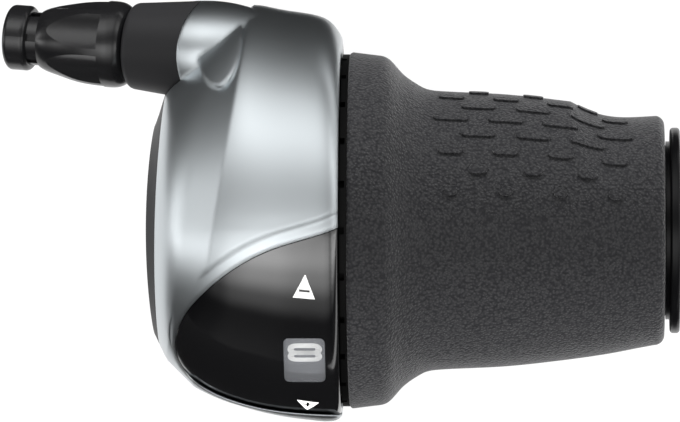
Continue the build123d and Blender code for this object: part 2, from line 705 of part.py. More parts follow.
with BuildPart() as grip_sleeve:
    web_face = HOUSING_LENGTH + FACE_GAP
    with BuildSketch(Plane.XY):
        with BuildLine():
            Polyline(
                (DRUM_END, SLEEVE_BORE),
                (DRUM_END, HUB_RADIUS),
                (web_face - WEB_THICKNESS, HUB_RADIUS),
                (web_face - WEB_THICKNESS, SKIRT_RADIUS - SKIRT_WALL),
                (SKIRT_START, SKIRT_RADIUS - SKIRT_WALL),
                (SKIRT_START, SKIRT_RADIUS),
                (web_face, SKIRT_RADIUS),
                (web_face, RIM_RADIUS),
                (GRIP_START, RIM_RADIUS),
                *SLEEVE_LINE,
                (GRIP_END, SLEEVE_BORE),
                close=True,
            )
        make_face()
    revolve(axis=Axis.X)
    with BuildSketch(Plane.YZ.offset(DRUM_END - DOG_LENGTH)):
        with PolarLocations(HUB_RADIUS - HUB_WALL / 2, DOG_COUNT, start_angle=90):
            Rectangle(HUB_WALL - FACE_GAP, DOG_WIDTH)
    extrude(amount=DOG_LENGTH + SEAT_PLAY)
    disc(DRUM_START, DRUM_END + DOG_LENGTH, SLEEVE_BORE, Mode.SUBTRACT)
    with BuildSketch(Plane.YZ.offset(web_face)):
        with PolarLocations(RIM_RADIUS, RIM_SLOTS):
            Rectangle(2 * RIM_SLOT_DEPTH, RIM_SLOT_WIDTH)
    extrude(amount=(GRIP_START - web_face) * RIM_SLOT_SHARE, mode=Mode.SUBTRACT)
grip_sleeve.part.label = "grip_sleeve"
export_step(grip_sleeve.part, "parts/grip_sleeve.step")

with BuildPart() as number_ring:
    disc(DIAL_START, DIAL_START + DIAL_LENGTH, DIAL_RADIUS)
    disc(DIAL_START, DIAL_START + DIAL_LENGTH, SKIRT_RADIUS + SEAT_PLAY, Mode.SUBTRACT)
number_ring.part.label = "number_ring"
export_step(number_ring.part, "parts/number_ring.step")


def grip_profile(raise_by):
    """Outer half section of the rubber, lifted by an amount."""
    flange = GRIP_FLANGE_RADIUS + raise_by
    waist = GRIP_WAIST_RADIUS + raise_by
    end = GRIP_END_RADIUS + raise_by
    waist_x = GRIP_START + FLARE_LENGTH
    tip_x = GRIP_END - TIP_ROUND
    flare = [
        (GRIP_START + place * FLARE_LENGTH, flange - fall * (flange - waist)) for place, fall in FLARE
    ]
    body = [(waist_x + place * (tip_x - waist_x), waist - fall * (waist - end)) for place, fall in BODY]
    with BuildSketch(Plane.XY) as half_section:
        with BuildLine():
            RadiusArc((GRIP_START, flange - LIP_ROUND), (GRIP_START + LIP_ROUND, flange), LIP_ROUND)
            Line((GRIP_START + LIP_ROUND, flange), flare[0])
            Spline(*flare, (waist_x, waist), tangents=((1, -0.12), (1, -0.07)))
            Spline((waist_x, waist), *body, (tip_x, end), tangents=((1, -0.07), (1, -0.17)))
            RadiusArc((tip_x, end), (GRIP_END, end - TIP_ROUND), TIP_ROUND)
            Polyline(
                (GRIP_END, end - TIP_ROUND),
                (GRIP_END, 0),
                (GRIP_START, 0),
                (GRIP_START, flange - LIP_ROUND),
            )
        make_face()
    return half_section.sketch


def scoop_body(raise_by):
    """Round body about a shifted axis; the rubber is kept inside it to form the finger scoop."""
    way = radians(SCOOP_ANGLE)
    shift = (0, -SCOOP_SHIFT * sin(way), -SCOOP_SHIFT * cos(way))
    high = GRIP_FLANGE_RADIUS + 2 * SCOOP_SHIFT
    fall = BODY[1][1] * (GRIP_WAIST_RADIUS - GRIP_END_RADIUS)
    crest = GRIP_WAIST_RADIUS - fall + SCOOP_SHIFT + raise_by + 3 * SCOOP_STEP
    low = SCOOP_RADIUS + SCOOP_SHIFT + raise_by
    start = GRIP_END - SCOOP_LENGTH
    flat = GRIP_END - SCOOP_FLAT
    with BuildSketch(Plane(origin=shift, x_dir=(1, 0, 0), z_dir=(0, 0, 1))) as half_section:
        with BuildLine():
            step = Spline(
                (start, crest),
                ((start + flat) / 2, (crest + low) / 2 - SCOOP_STEP),
                (flat, low + SCOOP_STEP),
                (GRIP_END + 1, low),
                tangents=((1, -0.25), (1, 0)),
            )
            Polyline(
                step @ 1,
                (GRIP_END + 1, 0),
                (GRIP_START - 1, 0),
                (GRIP_START - 1, high),
                (start - SCOOP_FLAT, high),
                step @ 0,
            )
        make_face()
    revolve(half_section.sketch, axis=Axis(shift, (1, 0, 0)), mode=Mode.INTERSECT)


with BuildPart() as dash_columns:
    for row, length in enumerate(DASH_LENGTHS):
        angle = radians(DASH_FIRST_ANGLE + DASH_ROW_STEP * row)
        out = Vector(0, sin(angle), cos(angle))
        first = DASH_FIRST_X + (row % 2) * DASH_PITCH / 2
        root = GRIP_END_RADIUS - RUBBER_THICKNESS / 2
        with BuildSketch(Plane(origin=out * root, x_dir=(1, 0, 0), z_dir=out)):
            with Locations(*[(first + DASH_PITCH * k, 0) for k in range(DASH_COLUMNS - row % 2)]):
                SlotOverall(length, DASH_WIDTH)
        extrude(amount=GRIP_FLANGE_RADIUS)

with BuildPart() as dashes:
    revolve(grip_profile(DASH_HEIGHT), axis=Axis.X)
    scoop_body(DASH_HEIGHT)
    add(dash_columns.part, mode=Mode.INTERSECT)

with BuildPart() as grip_rubber:
    revolve(grip_profile(0), axis=Axis.X)
    scoop_body(0)
    add(dashes.part)
    with BuildSketch(Plane.XY):
        with BuildLine():
            Polyline((GRIP_START, 0), *SLEEVE_LINE, (GRIP_END, 0), close=True)
        make_face()
    revolve(axis=Axis.X, mode=Mode.SUBTRACT)
grip_rubber.part.label = "grip_rubber"
export_step(grip_rubber.part, "parts/grip_rubber.step")

with BuildPart() as adjuster_knob:
    with BuildSketch(Plane(origin=BARREL_ORIGIN, x_dir=BARREL_AXIS, z_dir=BARREL.x_dir)):
        with BuildLine():
            outside = Spline(
                (KNOB_END, KNOB_NECK_RADIUS - KNOB_LIP / 2),
                (KNOB_END - KNOB_LIP, KNOB_NECK_RADIUS),
                (KNOB_END - 0.18 * KNOB_LENGTH, 0.8 * KNOB_RADIUS),
                (KNOB_END - 0.44 * KNOB_LENGTH, 0.94 * KNOB_RADIUS),
                (KNOB_START + 0.22 * KNOB_LENGTH, KNOB_RADIUS),
                (KNOB_START + 0.09 * KNOB_LENGTH, 0.97 * KNOB_RADIUS),
                (KNOB_START, 0.82 * KNOB_RADIUS),
            )
            Polyline(outside @ 1, (KNOB_START, 0), (KNOB_END, 0), outside @ 0)
        make_face()
    revolve(axis=Axis(BARREL_ORIGIN, BARREL_AXIS))
    with BuildSketch(BARREL.offset(KNOB_START + FLUTE_SHARE * KNOB_LENGTH)):
        with PolarLocations(KNOB_RADIUS + FLUTE_RADIUS - FLUTE_DEPTH, KNOB_FLUTES, FLUTE_TURN):
            Circle(FLUTE_RADIUS)
    extrude(amount=KNOB_LENGTH, taper=-FLUTE_TAPER, mode=Mode.SUBTRACT)
    barrel_disc(KNOB_START, KNOB_END, BOLT_THREAD_BORE + FACE_GAP, Mode.SUBTRACT)
    barrel_disc(SPRING_START, KNOB_END, KNOB_BORE, Mode.SUBTRACT)
    with BuildSketch(BARREL.offset(KNOB_END - KNOB_LIP - SPLINE_LENGTH)):
        with PolarLocations(KNOB_BORE, NECK_SLOTS):
            Rectangle(2 * SPLINE_DEPTH, SPLINE_WIDTH)
    extrude(amount=SPLINE_LENGTH)
adjuster_knob.part.label = "adjuster_knob"
export_step(adjuster_knob.part, "parts/adjuster_knob.step")

with BuildPart() as adjuster_bolt:
    barrel_disc(SHANK_END, BOLT_TIP, SHANK_RADIUS)
    barrel_disc(NECK_START, BOLT_TIP, NECK_RADIUS)
    with BuildSketch(BARREL.offset(NECK_START)):
        with PolarLocations(NECK_RADIUS, NECK_SLOTS):
            Rectangle(2 * SPLINE_DEPTH + 2 * RUN_PLAY, SPLINE_WIDTH + 2 * RUN_PLAY)
    extrude(amount=NECK_LENGTH - END_FLANGE_THICKNESS, mode=Mode.SUBTRACT)
    barrel_disc(BOLT_TIP - END_FLANGE_THICKNESS, BOLT_TIP, END_FLANGE_RADIUS)
    rims = adjuster_bolt.edges().filter_by(GeomType.CIRCLE)
    fillet(rims.filter_by(lambda e: abs(e.radius - END_FLANGE_RADIUS) < 0.01), END_FLANGE_ROUND)
    barrel_disc(SHANK_END, BOLT_TIP, CABLE_HOLE_RADIUS, Mode.SUBTRACT)
    barrel_disc(BOLT_TIP - CASING_DEPTH, BOLT_TIP, CASING_RADIUS, Mode.SUBTRACT)
adjuster_bolt.part.label = "adjuster_bolt"
export_step(adjuster_bolt.part, "parts/adjuster_bolt.step")

with BuildPart() as adjuster_spring:
    spring_length = NECK_START - SPRING_START - SPRING_WIRE - 2 * SEAT_PLAY
    coil_radius = (SHANK_RADIUS + KNOB_BORE) / 2
    spring_foot = BARREL.offset(SPRING_START + SPRING_WIRE / 2 + SEAT_PLAY).origin
    with BuildLine():
        coil = Helix(
            pitch=spring_length / SPRING_TURNS,
            height=spring_length,
            radius=coil_radius,
            center=spring_foot,
            direction=BARREL_AXIS,
        )
    with BuildSketch(Plane(origin=coil @ 0, z_dir=coil % 0)):
        Circle(SPRING_WIRE / 2)
    sweep(path=coil, is_frenet=True)
adjuster_spring.part.label = "adjuster_spring"
export_step(adjuster_spring.part, "parts/adjuster_spring.step")
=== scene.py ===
"""Right-hand twist grip gear shifter, seen from above as it sits on the handlebar."""

import bpy
import numpy as np
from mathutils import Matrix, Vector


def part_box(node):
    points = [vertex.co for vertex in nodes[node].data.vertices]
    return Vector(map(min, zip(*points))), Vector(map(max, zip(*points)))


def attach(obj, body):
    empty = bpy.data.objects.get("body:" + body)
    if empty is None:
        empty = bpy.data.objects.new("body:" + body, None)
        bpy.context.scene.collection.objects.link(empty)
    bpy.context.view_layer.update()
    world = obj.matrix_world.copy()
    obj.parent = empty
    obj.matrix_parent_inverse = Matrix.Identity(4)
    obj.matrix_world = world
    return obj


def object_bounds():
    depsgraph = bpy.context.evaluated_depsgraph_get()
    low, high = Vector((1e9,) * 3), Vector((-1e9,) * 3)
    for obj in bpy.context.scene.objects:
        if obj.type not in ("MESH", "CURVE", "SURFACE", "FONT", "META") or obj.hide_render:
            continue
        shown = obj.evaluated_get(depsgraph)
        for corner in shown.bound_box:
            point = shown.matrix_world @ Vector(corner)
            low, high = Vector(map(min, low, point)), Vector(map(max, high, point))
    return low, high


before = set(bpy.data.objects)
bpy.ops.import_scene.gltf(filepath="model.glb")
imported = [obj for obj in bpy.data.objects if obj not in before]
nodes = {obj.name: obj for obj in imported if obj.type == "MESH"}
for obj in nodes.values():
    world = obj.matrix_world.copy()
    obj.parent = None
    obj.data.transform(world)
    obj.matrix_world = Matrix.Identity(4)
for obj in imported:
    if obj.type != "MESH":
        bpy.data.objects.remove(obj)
cad_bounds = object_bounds()

# Base body: one moulding with the tube over the handlebar, the clamp and the lower half of
# the housing, in glass-filled nylon. The cable drum that turns inside it is moulded from the
# same nylon. Sizes here and below are in millimetres.
MM = 0.001
NYLON_GRAIN = 0.25
NYLON_GRAIN_HEIGHT = 0.006
GRAIN_DETAIL = 2.0


def linear(hex_colour):
    """An sRGB hex value as linear red, green, blue and full alpha."""
    srgb = np.array([int(hex_colour[i : i + 2], 16) for i in (1, 3, 5)]) / 255
    rgb = np.where(srgb <= 0.04045, srgb / 12.92, ((srgb + 0.055) / 1.055) ** 2.4)
    return (*rgb.tolist(), 1.0)


def add_node(tree, kind, sockets, **settings):
    """Adds a node, sets its properties, and fills its sockets with values or links."""
    made = tree.nodes.new(kind)
    for name, value in settings.items():
        setattr(made, name, value)
    for name, value in sockets.items():
        if isinstance(value, bpy.types.NodeSocket):
            tree.links.new(value, made.inputs[name])
        else:
            made.inputs[name].default_value = value
    return made


def new_material(name, colour, roughness, **sockets):
    """A Principled surface with its colour, roughness and any other sockets by name."""
    material = bpy.data.materials.new(name)
    material.use_nodes = True
    inputs = material.node_tree.nodes["Principled BSDF"].inputs
    inputs["Base Color"].default_value = linear(colour)
    inputs["Roughness"].default_value = roughness
    for socket, value in sockets.items():
        inputs[socket.replace("_", " ")].default_value = value
    return material


def grain_bump(material, width, height):
    """Noise bumps of one width and height all over a material. Gives back the bump node."""
    tree = material.node_tree
    place = add_node(tree, "ShaderNodeTexCoord", {})
    grain = add_node(
        tree,
        "ShaderNodeTexNoise",
        {
            "Vector": place.outputs["Object"],
            "Scale": 1 / (width * MM),
            "Detail": GRAIN_DETAIL,
        },
    )
    bump = add_node(
        tree, "ShaderNodeBump", {"Height": grain.outputs["Fac"], "Distance": height * MM}
    )
    tree.links.new(bump.outputs["Normal"], tree.nodes["Principled BSDF"].inputs["Normal"])
    return bump


def finish_nodes(material, *names):
    """Gives CAD nodes one material."""
    for name in names:
        nodes[name].data.materials.clear()
        nodes[name].data.materials.append(material)


# The spark-eroded mould leaves a fine grain that scatters a soft grey sheen over a near-black
# body. It is really finer than a tenth of a millimetre, and drawn coarser so that it shows.
nylon = new_material("moulded_black_nylon", "#212122", 0.45, IOR=1.53, Specular_IOR_Level=0.12)
grain_bump(nylon, NYLON_GRAIN, NYLON_GRAIN_HEIGHT)
finish_nodes(nylon, "base_body", "cable_drum")

# Grip sleeve: the hard nylon tube inside the rubber, moulded, and turning on the base's tube.
# Only its slotted rim shows, down in the gap. Its colour is painted shade: far darker than the
# base's nylon, for the gap's shadow, with a dull skin.
sleeve_painted_shade = new_material(
    "nylon_with_painted_gap_shade", "#040404", 0.6, IOR=1.53, Specular_IOR_Level=0.1
)
finish_nodes(sleeve_painted_shade, "grip_sleeve")

# Clamp bolt, clamp nut and cover screws: steel, headed and rolled, then zinc plated, and all
# driven from below. The plating gives a pale grey gleam over faint ripples, which are drawn
# wider than they are so that they show.
ZINC_RIPPLE = 0.3
ZINC_RIPPLE_HEIGHT = 0.002
zinc = new_material("zinc_plated_steel", "#b9babb", 0.32, Metallic=1.0)
grain_bump(zinc, ZINC_RIPPLE, ZINC_RIPPLE_HEIGHT)
finish_nodes(zinc, "clamp_bolt", "clamp_nut", "cover_screws")

# Detent leaf and adjuster spring: spring steel, cold formed and held in pockets of the base
# and the knob. The steel is left as drawn, so it is bright and smooth.
spring_steel = new_material("drawn_spring_steel", "#a5a7a9", 0.25, Metallic=1.0)
finish_nodes(spring_steel, "detent_spring", "adjuster_spring")

# Cable guide and thrust washer: moulded in acetal, slippery, and trapped between the base and
# what moves on them. With no colour added, acetal is milky white with a waxy shine.
acetal = new_material("moulded_natural_acetal", "#dcdad2", 0.4, IOR=1.48)
finish_nodes(acetal, "cable_guide", "thrust_washer")

# Number ring: a dark moulded band on the sleeve, which turns with the grip under the lens. Its
# eight numbers are screen printed across it, one detent apart, and the last one stands under
# the lens at rest.
DIGIT_WIDTH = 4.15
DIGIT_HEIGHT = 3.0
DIGIT_STROKE = 0.95
DIGIT_CORNER = 0.9
DIGIT_LIFT = 0.02
GEAR_COUNT = 8
GEAR_STEP = 21.0
LAST_GEAR_ANGLE = 45.7

# Strokes run over a box one wide and one high. Each loop of the eight ends where it starts.
DIGIT_PATHS = {
    1: [[(0.25, 0.85), (0.6, 1), (0.6, 0)]],
    2: [[(0, 1), (1, 1), (1, 0.5), (0, 0.5), (0, 0), (1, 0)]],
    3: [[(0, 1), (1, 1), (1, 0), (0, 0)], [(0.3, 0.5), (1, 0.5)]],
    4: [[(0, 1), (0, 0.4), (1, 0.4)], [(0.7, 1), (0.7, 0)]],
    5: [[(1, 1), (0, 1), (0, 0.5), (1, 0.5), (1, 0), (0, 0)]],
    6: [[(1, 1), (0, 1), (0, 0), (1, 0), (1, 0.5), (0, 0.5)]],
    7: [[(0, 1), (1, 1), (0.4, 0)]],
    8: [
        [(0.5, 1), (1, 1), (1, 0.5), (0, 0.5), (0, 1), (0.5, 1)],
        [(0.5, 0.5), (1, 0.5), (1, 0), (0, 0), (0, 0.5), (0.5, 0.5)],
    ],
}


def rounded_path(points, corner, steps=7):
    """A polyline with each corner cut by a quadratic curve, a corner length before and after."""
    points = np.array(points, float)
    bits = [points[:1]]
    share = np.linspace(0, 1, steps)[:, None]
    for before, point, after in zip(points[:-2], points[1:-1], points[2:]):
        back, on = before - point, after - point
        reach_back = min(corner, np.linalg.norm(back) / 2)
        reach_on = min(corner, np.linalg.norm(on) / 2)
        start = point + back / np.linalg.norm(back) * reach_back
        end = point + on / np.linalg.norm(on) * reach_on
        bits.append((1 - share) ** 2 * start + 2 * share * (1 - share) * point + share**2 * end)
    bits.append(points[-1:])
    return np.concatenate(bits)


def ribbon(path, width, lanes=5):
    """A flat stroke: the path carried sideways by half a width to each side, as a grid."""
    along = np.gradient(path, axis=0)
    along /= np.linalg.norm(along, axis=1, keepdims=True)
    side = np.stack([-along[:, 1], along[:, 0]], axis=1)
    across = np.linspace(-0.5, 0.5, lanes)[None, :, None] * width
    return path[:, None, :] + across * side[:, None, :]


def grid_faces(rows, columns, first):
    """Quads of a grid of rows by columns, counted from a first vertex."""
    index = first + np.arange(rows * columns).reshape(rows, columns)
    quads = np.stack([index[:-1, :-1], index[:-1, 1:], index[1:, 1:], index[1:, :-1]], axis=-1)
    return quads.reshape(-1, 4)


def add_piece(name, grids, material, body):
    """One smooth mesh from grids of points, riding on a body."""
    vertices, faces, first = [], [], 0
    for grid in grids:
        rows, columns = grid.shape[:2]
        vertices.append(grid.reshape(-1, 3) * MM)
        faces.append(grid_faces(rows, columns, first))
        first += rows * columns
    mesh = bpy.data.meshes.new(name)
    mesh.from_pydata(np.concatenate(vertices).tolist(), [], np.concatenate(faces).tolist())
    mesh.shade_smooth()
    mesh.materials.append(material)
    piece = bpy.data.objects.new(name, mesh)
    bpy.context.scene.collection.objects.link(piece)
    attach(piece, body)


def outward(grid, point):
    """The grid with its columns turned round where its faces look towards a point."""
    across = np.cross(grid[1:, :-1] - grid[:-1, :-1], grid[:-1, 1:] - grid[:-1, :-1])
    away = grid[:-1, :-1] - point
    return grid[:, ::-1] if np.sum(across * away) > 0 else grid


# The band has the even satin skin of its mould, and the ink lies on it in a flat chalky film.
dial_plastic = new_material("moulded_dial_plastic", "#434447", 0.5, IOR=1.5)
finish_nodes(dial_plastic, "number_ring")
print_white = new_material("screen_printed_white_ink", "#e6e6e4", 0.55, IOR=1.5)

ring_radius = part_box("number_ring")[1].z / MM
lens_low, lens_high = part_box("number_lens")
lens_x = (lens_low.x + lens_high.x) / 2 / MM
digit_radius = ring_radius + DIGIT_LIFT
digit_grids = []
for gear, paths in DIGIT_PATHS.items():
    middle = np.radians(LAST_GEAR_ANGLE + (GEAR_COUNT - gear) * GEAR_STEP)
    for path in paths:
        flat = (np.array(path) - 0.5) * [DIGIT_WIDTH, DIGIT_HEIGHT]
        stroke = ribbon(rounded_path(flat, DIGIT_CORNER), DIGIT_STROKE)
        angle = middle - stroke[..., 1] / ring_radius
        y, z = -digit_radius * np.sin(angle), digit_radius * np.cos(angle)
        grid = np.stack([lens_x + stroke[..., 0], y, z], axis=-1)
        digit_grids.append(outward(grid, np.array([lens_x, 0, 0])))
add_piece("gear_numbers", digit_grids, print_white, "twist_grip")

# Grip rubber: thermoplastic rubber moulded over the sleeve. The mould's leather grain, in
# pebbles a third of a millimetre wide, scatters light, so the rubber is dark grey and dull all
# round. Its colour is painted paler on the pebbles' tops and darker between them: painted light
# and painted shade of the grain.
RUBBER_GRAIN = 0.36
RUBBER_GRAIN_HEIGHT = 0.2
RUBBER_EDGE = 0.2
WARP_WIDTH = 2 * RUBBER_GRAIN
WARP_PUSH = 0.4 * RUBBER_GRAIN
# Painted light on the pebbles' tops and painted shade in the hollows between them, as place and
# colour.
PEBBLE_LIGHT_AND_SHADE = ((0.15, "#313132"), (0.6, "#1d1d1f"))
rubber = new_material(
    "moulded_leather_grain_rubber",
    PEBBLE_LIGHT_AND_SHADE[0][1],
    0.5,
    IOR=1.5,
    Specular_IOR_Level=0.12,
    Sheen_Weight=0.15,
    Sheen_Roughness=0.4,
)
rubber_tree = rubber.node_tree
rubber_inputs = rubber_tree.nodes["Principled BSDF"].inputs
rubber_place = add_node(rubber_tree, "ShaderNodeTexCoord", {})
rubber_warp = add_node(
    rubber_tree,
    "ShaderNodeTexNoise",
    {
        "Vector": rubber_place.outputs["Object"],
        "Scale": 1 / (WARP_WIDTH * MM),
        "Detail": GRAIN_DETAIL,
    },
)
rubber_shift = add_node(
    rubber_tree,
    "ShaderNodeVectorMath",
    {0: rubber_warp.outputs["Color"], 1: (WARP_PUSH * MM,) * 3},
    operation="MULTIPLY",
)
rubber_sum = add_node(
    rubber_tree,
    "ShaderNodeVectorMath",
    {0: rubber_place.outputs["Object"], 1: rubber_shift.outputs["Vector"]},
    operation="ADD",
)
rubber_cells = add_node(
    rubber_tree,
    "ShaderNodeTexVoronoi",
    {"Vector": rubber_sum.outputs["Vector"], "Scale": 1 / (RUBBER_GRAIN * MM)},
    feature="SMOOTH_F1",
)
# The colour follows the pebbles' height: painted light on their tops, painted shade between them.
rubber_painted_shade = add_node(
    rubber_tree, "ShaderNodeValToRGB", {"Fac": rubber_cells.outputs["Distance"]}
)
for element, (place, colour) in zip(rubber_painted_shade.color_ramp.elements, PEBBLE_LIGHT_AND_SHADE):
    element.position = place
    element.color = linear(colour)
rubber_tree.links.new(rubber_painted_shade.outputs["Color"], rubber_inputs["Base Color"])
rubber_edge = add_node(rubber_tree, "ShaderNodeBevel", {"Radius": RUBBER_EDGE * MM})
rubber_bump = add_node(
    rubber_tree,
    "ShaderNodeBump",
    {
        "Height": rubber_cells.outputs["Distance"],
        "Distance": -RUBBER_GRAIN_HEIGHT * MM,
        "Normal": rubber_edge.outputs["Normal"],
    },
)
rubber_tree.links.new(rubber_bump.outputs["Normal"], rubber_inputs["Normal"])
finish_nodes(rubber, "grip_rubber")

# End washer: a ring of black acetal that is pressed on the tube's end and keeps the grip on.
# It comes from a plain smooth mould, so its skin is even and a little shiny.
washer_black = new_material(
    "moulded_black_acetal", "#060607", 0.3, IOR=1.48, Specular_IOR_Level=0.2
)
finish_nodes(washer_black, "end_washer")

# Top cover: moulded ABS shell, screwed to the base from below and sprayed with silver metallic
# paint. The flakes lie flat and give a satin metal sheen that falls off softly, under a thin
# dull lacquer.
FLAKE_SIZE = 0.22
FLAKE_HEIGHT = 0.003
PAINTED_EDGE = 1.0
silver = new_material(
    "sprayed_silver_metallic_paint",
    "#c7cdd0",
    0.36,
    Metallic=1.0,
    Coat_Weight=0.25,
    Coat_Roughness=0.25,
)
# Real flakes are a few hundredths of a millimetre wide, and drawn coarser so that they show.
# The paint builds up on edges and rounds them.
flake_bump = grain_bump(silver, FLAKE_SIZE, FLAKE_HEIGHT)
painted_edge = add_node(silver.node_tree, "ShaderNodeBevel", {"Radius": PAINTED_EDGE * MM})
silver.node_tree.links.new(painted_edge.outputs["Normal"], flake_bump.inputs["Normal"])
finish_nodes(silver, "top_cover")

# Indicator window: a curved polycarbonate panel, black behind, that snaps into the cover. Its
# face is as smooth as the polished mould, so it is deep gloss black and mirrors the light tent.
gloss_black = new_material(
    "polished_black_polycarbonate", "#060607", 0.1, IOR=1.6, Specular_IOR_Level=1.0
)
finish_nodes(gloss_black, "indicator_window")

# Number lens: a small moulding of smoky polycarbonate, set flush in the window over the dial.
# It is clear enough to read the number, and greys what is under it.
lens_smoke = new_material("moulded_smoky_polycarbonate", "#8b8d91", 0.08, IOR=1.58, Alpha=0.22)
finish_nodes(lens_smoke, "number_lens")

# Window marks: two arrows in white ink, the upper for lower gears with a minus bar, the lower
# for higher gears with a plus, screen printed on the panel and following its curve. The signs
# are left open in the ink, so they show the panel's gloss black.
MARK_LIFT = 0.03
MARK_WIDTH = 3.3
MARK_HEIGHT = 3.8
MARK_TURN = -3.5
MARK_X = 23.95
MARK_TIP = 0.04
MARK_STEPS = 14
MINUS_ARROW_ARC = 17.0
PLUS_ARROW_ARC = 69.0
SIGN_LENGTH = 1.6
SIGN_WIDTH = 0.32
SIGN_SHIFT = 0.19 * MARK_HEIGHT
SIGN_STEPS = 10
SIGN_LANES = 4
PROFILE_STEPS = 12
PROFILE_BAND = 0.5

window_vertices = np.empty(len(nodes["indicator_window"].data.vertices) * 3)
nodes["indicator_window"].data.vertices.foreach_get("co", window_vertices)
window_vertices = window_vertices.reshape(-1, 3) / MM
window_radii = np.hypot(window_vertices[:, 1], window_vertices[:, 2])
profile_x = np.linspace(MARK_X - MARK_WIDTH, MARK_X + MARK_WIDTH, PROFILE_STEPS)
profile_radius = np.array(
    [window_radii[np.abs(window_vertices[:, 0] - x) < PROFILE_BAND].max() for x in profile_x]
)


def on_window(flat, arc, lift):
    """Points drawn flat about a mark's middle, wrapped on the window at an arc from the top."""
    turn = np.radians(MARK_TURN)
    x = MARK_X + flat[..., 0] * np.cos(turn) - flat[..., 1] * np.sin(turn)
    up = flat[..., 0] * np.sin(turn) + flat[..., 1] * np.cos(turn)
    radius = np.interp(x, profile_x, profile_radius) + lift
    angle = np.radians(arc) - up / radius
    grid = np.stack([x, -radius * np.sin(angle), radius * np.cos(angle)], axis=-1)
    return outward(grid, np.array([MARK_X, 0, 0]))


def arrow_face(pointing):
    """A triangle as a grid: rows from the tip to the base, each row as wide as it is low."""
    down = np.linspace(MARK_TIP, 1, MARK_STEPS)[:, None]
    across = np.linspace(-0.5, 0.5, MARK_STEPS)[None, :]
    x = across * down * MARK_WIDTH
    y = pointing * (0.5 - down) * MARK_HEIGHT + 0 * across
    return np.stack([x, y], axis=-1)


def sign_bar(shift, upright=False):
    """A stroke of a sign as a grid: its length by its width, shifted up from an arrow's middle."""
    along = np.linspace(-0.5, 0.5, SIGN_STEPS)[:, None] * SIGN_LENGTH
    across = np.linspace(-0.5, 0.5, SIGN_LANES)[None, :] * SIGN_WIDTH
    along, across = np.broadcast_arrays(along, across)
    flat = np.stack([across, along] if upright else [along, across], axis=-1)
    return flat + np.array([0, shift])


add_piece(
    "arrow_marks",
    [
        on_window(arrow_face(1), MINUS_ARROW_ARC, MARK_LIFT),
        on_window(arrow_face(-1), PLUS_ARROW_ARC, MARK_LIFT),
    ],
    print_white,
    "base",
)
add_piece(
    "arrow_signs",
    [
        on_window(sign_bar(-SIGN_SHIFT), MINUS_ARROW_ARC, 2 * MARK_LIFT),
        on_window(sign_bar(SIGN_SHIFT), PLUS_ARROW_ARC, 2 * MARK_LIFT),
        on_window(sign_bar(SIGN_SHIFT, upright=True), PLUS_ARROW_ARC, 2 * MARK_LIFT),
    ],
    gloss_black,
    "base",
)

# Cable adjuster: fluted knob and hollow bolt, moulded in black nylon. The bolt screws into the
# knob, and the knob turns against the base's collar. The satin skin draws soft bright streaks
# on black, and its grain is drawn coarser than real so that it shows.
ADJUSTER_GRAIN = 0.2
ADJUSTER_GRAIN_HEIGHT = 0.003
adjuster_black = new_material("moulded_satin_nylon", "#111112", 0.22, IOR=1.5)
grain_bump(adjuster_black, ADJUSTER_GRAIN, ADJUSTER_GRAIN_HEIGHT)
finish_nodes(adjuster_black, "adjuster_knob", "adjuster_bolt")

# Studio floor: a sheet of pale matt paper under the part. The camera, gloss and the lens see it
# nearly white, and its own share of the light keeps the part's shadow.
FLOOR_DROP = 4.0
FLOOR_HALF = 1500.0
PAPER_GLOW = 0.8
floor_z = cad_bounds[0][2] / MM - FLOOR_DROP


def add_sheet(name, x_ends, y_ends, z, material):
    """A flat rectangle that faces up: four corners from the ends along x and y, at one z."""
    x, y = np.meshgrid(x_ends, y_ends, indexing="ij")
    corners = np.stack([x, y, np.full_like(x, z)], axis=-1) * MM
    mesh = bpy.data.meshes.new(name)
    mesh.from_pydata(corners.reshape(-1, 3).tolist(), [], [(0, 2, 3, 1)])
    mesh.materials.append(material)
    sheet = bpy.data.objects.new(name, mesh)
    bpy.context.scene.collection.objects.link(sheet)
    return sheet


floor_paper = new_material("studio_floor_paper", "#f4f4f4", 0.9)
paper_tree = floor_paper.node_tree
paper_path = add_node(paper_tree, "ShaderNodeLightPath", {})
paper_seen = add_node(
    paper_tree,
    "ShaderNodeMath",
    {0: paper_path.outputs["Is Camera Ray"], 1: paper_path.outputs["Is Glossy Ray"]},
    operation="ADD",
)
paper_shown = add_node(
    paper_tree,
    "ShaderNodeMath",
    {0: paper_seen.outputs["Value"], 1: paper_path.outputs["Is Transmission Ray"]},
    operation="ADD",
    use_clamp=True,
)
paper_share = add_node(
    paper_tree,
    "ShaderNodeMath",
    {0: paper_shown.outputs["Value"], 1: PAPER_GLOW},
    operation="MULTIPLY",
)
paper_white = add_node(
    paper_tree, "ShaderNodeEmission", {"Color": (1, 1, 1, 1), "Strength": 1.0}
)
paper_mix = add_node(
    paper_tree,
    "ShaderNodeMixShader",
    {
        0: paper_share.outputs["Value"],
        1: paper_tree.nodes["Principled BSDF"].outputs["BSDF"],
        2: paper_white.outputs["Emission"],
    },
)
paper_tree.links.new(
    paper_mix.outputs["Shader"], paper_tree.nodes["Material Output"].inputs["Surface"]
)
floor_ends = [-FLOOR_HALF, FLOOR_HALF]
floor = add_sheet("studio_floor", floor_ends, floor_ends, floor_z, floor_paper)

# Fill lamps: two long soft boxes, low in front and behind, which light the flanks of the grip.
# They are kept out of reflections, so they draw no bars on the paint and the window.
FILL_AWAY = 500.0
FILL_HEIGHT = 100.0
FILL_LENGTH = 800.0
FILL_DEPTH = 100.0
FILL_TARGET = np.array([30.0, 3.0, 0.0])
FILL_WATTS = 6.0


def aim(thing, place, target):
    """Puts a lamp or camera at a place, looking at a target, with +Y up in its own picture."""
    back = (place - target) / np.linalg.norm(place - target)
    right = np.cross([0, 1, 0], back)
    right /= np.linalg.norm(right)
    turned = np.eye(4)
    turned[:3, 0], turned[:3, 1], turned[:3, 2] = right, np.cross(back, right), back
    turned[:3, 3] = place * MM
    thing.matrix_world = turned.T.tolist()


